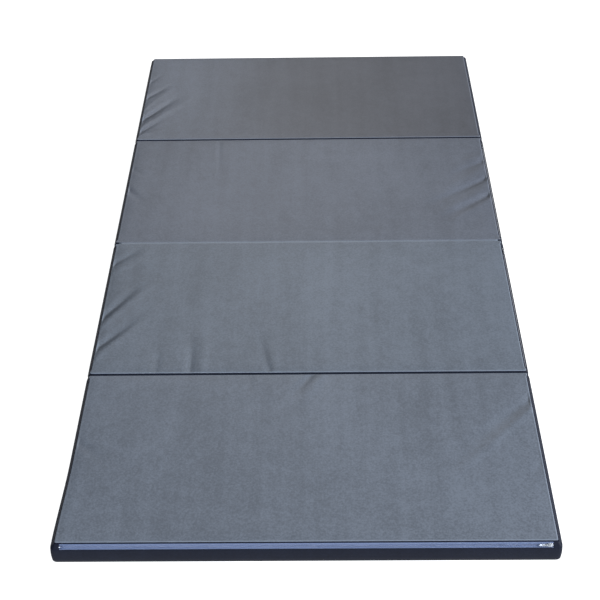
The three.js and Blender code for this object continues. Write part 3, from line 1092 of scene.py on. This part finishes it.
def tooth():
    """One bar, from its root at the tape to its head past the middle of the zip."""
    points = []
    for y, half, drop in TOOTH_SECTIONS:
        high, low = TOOTH_TOP - drop, TOOTH_BOTTOM
        points += [(-half, y, low), (half, y, low), (half * 0.7, y, high), (-half * 0.7, y, high)]
    return np.array(points), tube_faces(len(TOOTH_SECTIONS))


def teeth(panel):
    half = coil_half(panel) / MM
    starts = np.arange(-half + 0.6, half - 0.6, TOOTH_PITCH)
    points, faces = tooth()
    flat = np.zeros_like(starts)
    lower = repeated(points, faces, np.stack([starts, flat, flat], -1))
    turned = points * np.array([-1, -1, 1])
    upper = repeated(turned, faces, np.stack([starts + TOOTH_PITCH / 2, flat, flat], -1))
    both = np.concatenate([lower[0], upper[0]])
    quads = np.concatenate([lower[1], upper[1] + len(lower[0])])
    nodes = [f"zip_coil_{panel}"]
    # End panels take the paler teeth, which paint a sheen.
    stuff = SIDE_NYLON if panel in (2, 3) else END_NYLON_PAINTED_SHEEN
    return zip_piece(panel, "teeth", both, quads, stuff, f"panel_{panel}", nodes)


rows_of_teeth = [teeth(panel) for panel in PANELS]
print("faces in the teeth", sum(len(row.data.polygons) for row in rows_of_teeth))

# %% [markdown]
# ### Topstitching
# The turned hem of the cover is stitched down on each side of the slot. A stitch is a short length
# of thread that rises out of one hole and goes down the next, so it is a small arched spindle.

# %% Stitches
STITCH_PITCH = 3.6
STITCH_LENGTH = 2.7
STITCH_ROWS = (-5.15, 5.15)
STITCH_STATIONS = 5


def stitch():
    """One stitch, thin at both ends and highest in the middle."""
    points = []
    for k in range(STITCH_STATIONS):
        share = k / (STITCH_STATIONS - 1)
        x = (share - 0.5) * STITCH_LENGTH
        radius = 0.12 + 0.2 * math.sin(share * math.pi)
        height = 0.15 + 0.32 * math.sin(share * math.pi)
        for side in range(4):
            angle = math.tau * side / 4
            points.append((x, radius * math.cos(angle), height + radius * math.sin(angle)))
    return np.array(points), tube_faces(STITCH_STATIONS)


def stitching(panel):
    half = zip_half_slot(panel) / MM - 1.5
    along = np.arange(-half, half, STITCH_PITCH)
    offsets = [(x, row, 0.0) for row in STITCH_ROWS for x in along]
    points, faces = repeated(*stitch(), offsets)
    return zip_piece(panel, "stitching", points, faces, THREAD, f"panel_{panel}", [])


seams = [stitching(panel) for panel in PANELS]
print("stitches", [len(row.data.polygons) for row in seams])

# %% [markdown]
# ### Metal parts
# The slider is a die-cast shield with a bridge over its back, the pull is a stamped tongue with an
# eye, and the stops are strips of metal pinched round the last teeth. Stamped and cast parts have no
# sharp edges, so each is drawn as a flat outline, given its thickness, and bevelled.


# %% Plates
def plate(outline, low, high, bevel):
    """An outline given thickness, with its upper and lower edges rounded."""
    work = bmesh.new()
    base = work.faces.new([work.verts.new((x, y, low)) for x, y in outline])
    grown = bmesh.ops.extrude_face_region(work, geom=[base])
    risen = [v for v in grown["geom"] if isinstance(v, bmesh.types.BMVert)]
    bmesh.ops.translate(work, verts=risen, vec=(0, 0, high - low))
    bmesh.ops.recalc_face_normals(work, faces=work.faces)
    level = [e for e in work.edges if abs(e.verts[0].co.z - e.verts[1].co.z) < 1e-6]
    bmesh.ops.bevel(work, geom=level, offset=bevel, segments=2, profile=0.5, affect="EDGES")
    return work


def arc(x, y, radius, start, end, steps):
    angles = [math.radians(start + (end - start) * k / steps) for k in range(steps + 1)]
    return [(x + radius * math.cos(a), y + radius * math.sin(a)) for a in angles]


def add_bar(work, path, width, thick):
    """A flat bar along a path in the XZ plane, joined to what is already in work."""
    rings_made = []
    for k, (x, z) in enumerate(path):
        before, after = path[max(k - 1, 0)], path[min(k + 1, len(path) - 1)]
        run = Vector((after[0] - before[0], 0, after[1] - before[1])).normalized()
        side = Vector((-run.z, 0, run.x)) * thick / 2
        corners = [(side, -1), (side, 1), (-side, 1), (-side, -1)]
        made = [work.verts.new(Vector((x, s * width / 2, z)) + lift) for lift, s in corners]
        rings_made.append(made)
    for a, b in zip(rings_made, rings_made[1:]):
        for k in range(4):
            work.faces.new((a[k], a[(k + 1) % 4], b[(k + 1) % 4], b[k]))
    work.faces.new(rings_made[0][::-1])
    work.faces.new(rings_made[-1])
    bmesh.ops.recalc_face_normals(work, faces=work.faces)


def metal_piece(panel, name, work, at, body, nodes):
    """Lays a finished metal shape on its zip, at a place along it."""
    work.verts.index_update()
    points = [v.co + Vector(at) for v in work.verts]
    faces = [[v.index for v in f.verts] for f in work.faces]
    work.free()
    piece = zip_piece(panel, name, points, faces, METAL, body, nodes)
    flat = [len(f.vertices) > 4 for f in piece.data.polygons]
    piece.data.polygons.foreach_set("use_smooth", [not f for f in flat])
    return piece


print("points in a quarter arc of 5 steps:", len(arc(0, 0, 1, 0, 90, 5)))


# %% Slider
SLIDER_HALF = 7.0
SLIDER_WIDE, SLIDER_NARROW = 4.6, 2.6
PLATE_LOW, PLATE_HIGH = 0.3, 1.5
CHEEK_PATH = ((-3.4, -0.45), (6.0, -0.45))
CHEEK_OUT = 3.25
PIN_HEIGHT = 2.5


def slider(panel):
    """A shield with two cheeks that clasp the teeth and a bridge that holds the pull."""
    outline = arc(SLIDER_HALF - 2.2, 2.4, 2.2, 0, 90, 5) + [(-1.5, SLIDER_WIDE)]
    outline += arc(-SLIDER_HALF + 2.0, SLIDER_NARROW - 1.4, 1.4, 105, 180, 4)
    outline += [(x, -y) for x, y in reversed(outline)]
    work = plate(outline, PLATE_LOW, PLATE_HIGH, 0.35)
    for side in (-1, 1):
        before = set(work.verts)
        add_bar(work, CHEEK_PATH, 0.8, 1.5)
        for v in set(work.verts) - before:
            v.co.y += side * CHEEK_OUT
    top = PLATE_HIGH + 2.45
    bridge = [(-4.1, PLATE_HIGH - 0.3), (-4.05, PLATE_HIGH + 1.5)]
    bridge += [(-3.6, top - 0.25), (-2.8, top), (2.8, top), (3.6, top - 0.25)]
    bridge += [(4.05, PLATE_HIGH + 1.5), (4.1, PLATE_HIGH - 0.3)]
    add_bar(work, bridge, 1.8, 0.85)
    at = (slider_place(panel) / MM, 0, 0)
    return metal_piece(panel, "slider", work, at, f"slider_{panel}", [f"zip_slider_{panel}"])


sliders = [slider(panel) for panel in PANELS]
print("sliders", [len(piece.data.polygons) for piece in sliders])


# %% Pull
PULL_LENGTH = 25.0
PULL_HALF = 2.7
PULL_THICK_HALF = 0.45
PULL_STEPS = 7


def ring_plate(outer, inner, low, high, bevel):
    """A plate with a hole: both outlines have the same number of points."""
    work = bmesh.new()
    corners = ((outer, low), (outer, high), (inner, high), (inner, low))
    loops = [[work.verts.new((x, y, z)) for x, y in line] for line, z in corners]
    for a, b in zip(loops, loops[1:] + loops[:1]):
        for k in range(len(a)):
            after = (k + 1) % len(a)
            work.faces.new((a[k], a[after], b[after], b[k]))
    bmesh.ops.recalc_face_normals(work, faces=work.faces)
    edges = [e for e in work.edges if e.is_manifold and e.calc_face_angle(0) > 1.0]
    bmesh.ops.bevel(work, geom=edges, offset=bevel, segments=2, profile=0.5, affect="EDGES")
    return work


def join(work, other):
    """Adds another shape's points and faces to work, and frees it."""
    copies = {v: work.verts.new(v.co) for v in other.verts}
    for f in other.faces:
        work.faces.new([copies[v] for v in f.verts])
    other.free()


def pull(panel):
    """A tongue with a long eye, a raised pad for the thumb, and the pin that it turns on."""
    outer = arc(-PULL_LENGTH + PULL_HALF, 0, PULL_HALF, 90, 270, PULL_STEPS)
    outer += arc(-0.6, -PULL_HALF + 1.2, 1.2, -90, 0, 3) + arc(-0.6, PULL_HALF - 1.2, 1.2, 0, 90, 3)
    inner = arc(-5.0, 0, 1.55, 90, 270, PULL_STEPS)
    inner += arc(-1.6, -0.9, 0.65, -90, 0, 3) + arc(-1.6, 0.9, 0.65, 0, 90, 3)
    work = ring_plate(outer, inner, -PULL_THICK_HALF, PULL_THICK_HALF, 0.16)
    pin = [(-0.45, -0.42), (0.45, -0.42), (0.45, 0.42), (-0.45, 0.42)]
    raised = plate(arc(-18.5, 0, 1.5, 90, 270, 6) + arc(-12.5, 0, 1.5, -90, 90, 6), 0.3, 0.75, 0.15)
    join(work, raised)
    across = plate(pin, -PULL_HALF + 0.3, PULL_HALF - 0.3, 0.15)
    for v in across.verts:
        v.co = Vector((v.co.x, v.co.z, v.co.y))
    bmesh.ops.recalc_face_normals(across, faces=across.faces)
    join(work, across)
    at = (slider_place(panel) / MM, 0, PIN_HEIGHT)
    return metal_piece(panel, "pull", work, at, f"pull_{panel}", [f"zip_pull_{panel}"])


pulls = [pull(panel) for panel in PANELS]
print("pulls", [len(piece.data.polygons) for piece in pulls])


# %% Stops
def stops(panel):
    """A metal clip pinched round the last teeth at each end."""
    made = []
    for name, sign in (("top", 1), ("bottom", -1)):
        node = f"zip_{name}_stop_{panel}"
        low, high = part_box(node)
        place = (AXES[panel].inverted() @ ((low + high) / 2)).x / MM
        outline = arc(0.65, 1.6, 0.7, 0, 90, 3) + arc(-0.65, 1.6, 0.7, 90, 180, 3)
        outline += arc(-0.65, -1.6, 0.7, 180, 270, 3) + arc(0.65, -1.6, 0.7, 270, 360, 3)
        work = plate(outline, -2.3, -0.15, 0.4)
        made.append(metal_piece(panel, f"{name}_stop", work, (place, 0, 0), f"panel_{panel}", [node]))
    return made


clips = [stops(panel) for panel in PANELS]
print("stops", sum(len(pair) for pair in clips))

# %% [markdown]
# ## Floor and light
# The mat lies on a plain white floor that glows, so that it shows no shadow. The floor is thin and
# milky, but its glow all but hides a panel that is folded below it. The main lamp stands far out to
# the right and shines low across the creases, so that one side of each is lighter than the other. A
# cool lamp in front gives the near edge its sheen, and a weak one stands behind.


# %% Floor
SOLID_SHARE = 0.45


def milky():
    """A glowing white that lets part of what lies behind it through."""
    finish = Finish("milky_floor", Base_Color=(0.92, 0.92, 0.92), Roughness=0.9, Specular_IOR_Level=0.0)
    finish.set(Emission_Color=(1.0, 1.0, 1.0), Emission_Strength=1.7)
    clear = finish.node("ShaderNodeBsdfTransparent")
    diffuse = Wire(finish, finish.shader.outputs[0])
    mixed = finish.node("ShaderNodeMixShader", sockets={0: SOLID_SHARE, 1: clear, 2: diffuse})
    output = next(n for n in finish.tree.nodes if n.type == "OUTPUT_MATERIAL")
    finish.feed(output.inputs["Surface"], mixed)
    return finish.material


FLOOR_HALF = 12.0
FLOOR_DROP = 0.3 * MM
floor = piece_from(
    "floor",
    [(x * FLOOR_HALF, y * FLOOR_HALF, -FLOOR_DROP) for x, y in ((-1, -1), (1, -1), (1, 1), (-1, 1))],
    [(0, 1, 2, 3)],
    [milky()],
)
print("floor", floor.dimensions[:2])


# %% Light
def lamp(name, place, size, power, aim_at=(0, 0, 0), colour=(1, 1, 1)):
    data = bpy.data.lights.new(name, "AREA")
    data.shape = "RECTANGLE"
    data.size, data.size_y = size
    data.energy = power
    data.color = colour
    made = bpy.data.objects.new(name, data)
    made.location = place
    made.rotation_euler = (Vector(aim_at) - Vector(place)).to_track_quat("-Z", "Y").to_euler()
    bpy.context.collection.objects.link(made)
    return made


lamp("key_lamp", (11.6, -3.7, 4.6), (2.4, 2.4), 3400)
lamp("front_lamp", (-0.5, -6.0, 4.6), (2.8, 1.3), 230, (0, -0.6, 0), (0.80, 0.90, 1.0))
lamp("rear_lamp", (-0.4, 5.6, 4.3), (2.6, 3.2), 60, (0, -0.2, 0))

world = bpy.data.worlds.new("studio")
world.use_nodes = True
world.node_tree.nodes["Background"].inputs["Color"].default_value = (1, 1, 1, 1)
world.node_tree.nodes["Background"].inputs["Strength"].default_value = 0.22
bpy.context.scene.world = world
bpy.context.scene.view_settings.view_transform = "Standard"
print("lit")
